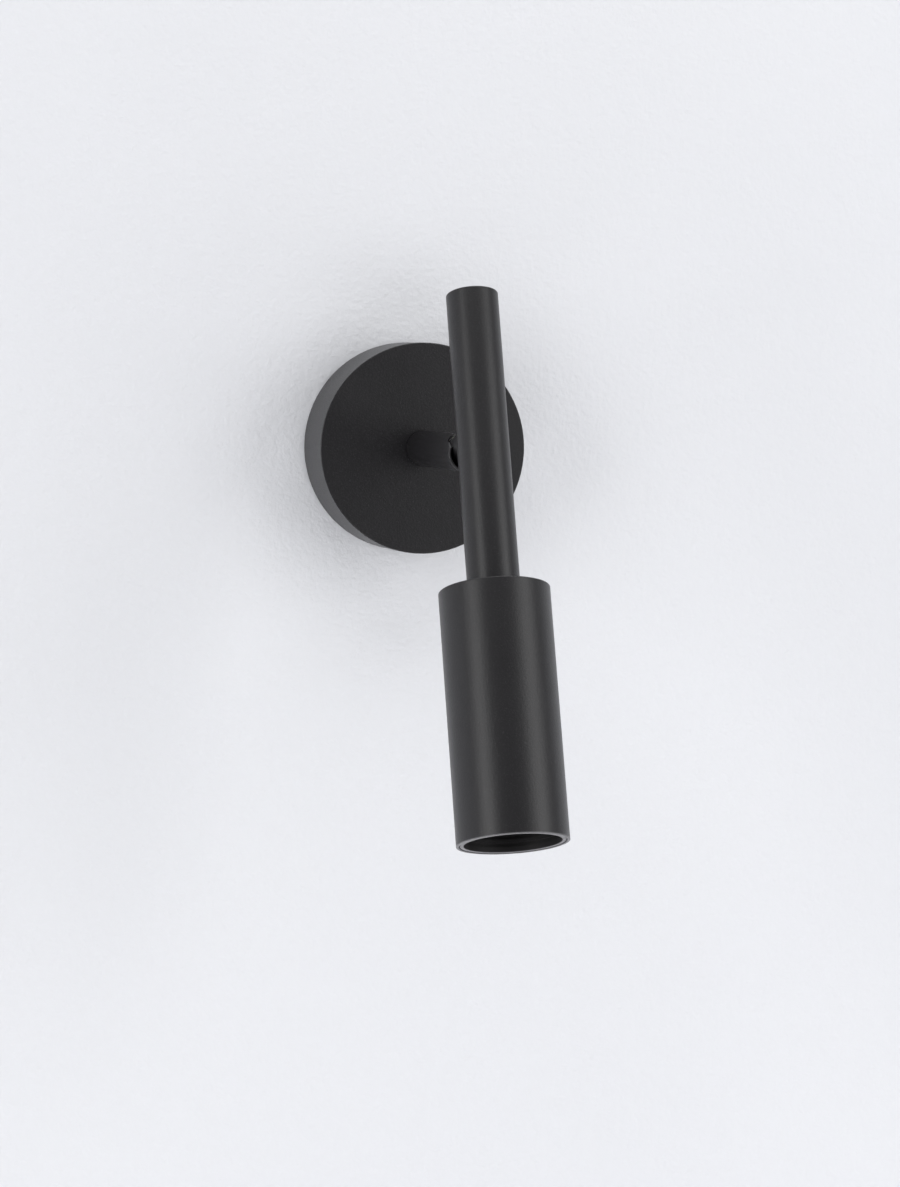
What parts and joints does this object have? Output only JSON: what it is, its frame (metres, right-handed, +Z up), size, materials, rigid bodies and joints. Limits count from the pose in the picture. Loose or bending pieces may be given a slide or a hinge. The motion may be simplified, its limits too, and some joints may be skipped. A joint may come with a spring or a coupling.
{
  "type": "pivoting spotlight wall light",
  "caption": "Matt black wall spotlight: a round canopy, a swivelling stem, and a ball-jointed tube arm ending in a cylindrical lamp head.",
  "frame": {"origin": "centre of the wall plane behind the mounting plate", "axes": "+Z up, -Y out of the wall towards the room, +X to the right seen from the room"},
  "size_m": [0.12, 0.2592, 0.2985],
  "materials": {
    "black_coat": "matte",
    "black_bore": "matte",
    "zinc_steel": "zinc-plated steel",
    "black_steel": "blackened steel",
    "brass": "turned brass",
    "white_nylon": "natural nylon",
    "black_nylon": "black nylon",
    "black_rubber": "black rubber",
    "connector_plastic": "white polyamide",
    "lead_sheath": "grey-white heat-proof sheath",
    "ceramic": "unglazed steatite",
    "lamp_glass": "pressed clear glass",
    "lamp_coating": "silvered reflector"
  },
  "bodies": {
    "canopy_base": {"mounting_plate": "zinc_steel", "cable_grommet": "black_rubber", "canopy": "black_coat", "canopy_grub_screws": "black_steel", "stop_post": "zinc_steel", "face_washer": "black_nylon", "inside_washer": "white_nylon", "terminal_block": "connector_plastic", "terminal_barrels": "brass", "terminal_screws": "brass", "block_screws": "zinc_steel", "earth_screw": "brass", "earth_washer": "zinc_steel", "canopy_lead": "lead_sheath"},
    "stem_body": {"stem": "black_coat", "stem_nipple": "zinc_steel", "swivel_stop_washer": "zinc_steel", "swivel_wave_washer": "zinc_steel", "stem_nut": "zinc_steel", "ball_seat": "white_nylon", "disc_springs": "zinc_steel", "pivot_pins": "black_steel", "stem_lead": "lead_sheath"},
    "arm_body": {"ball_and_neck": "black_coat", "neck_washer": "zinc_steel", "neck_nut": "zinc_steel", "arm_tube": "black_coat", "arm_cap": "black_coat", "arm_end_plug": "zinc_steel", "head_nipple": "zinc_steel", "head_shell": "black_coat", "baffle_sleeve": "black_bore", "head_lock_washer": "zinc_steel", "head_nut": "zinc_steel", "holder_bracket": "zinc_steel", "lampholder": "ceramic", "holder_screws": "zinc_steel", "lamp_base": "ceramic", "lamp_pins": "brass", "lamp_reflector": "lamp_coating", "lamp_lens": "lamp_glass", "arm_lead": "lead_sheath"}
  },
  "joints": [
    {"name": "stem_swivel", "type": "hinge", "parent": "canopy_base", "child": "stem_body", "pos_m": [0, -0.0415, 0], "axis": [0, -1, 0], "range_deg": [-170, 170]},
    {"name": "arm_tilt", "type": "hinge", "parent": "stem_body", "child": "arm_body", "pos_m": [0, -0.1165, 0], "axis": [-1, 0, 0], "range_deg": [-22, 25]}
  ]
}
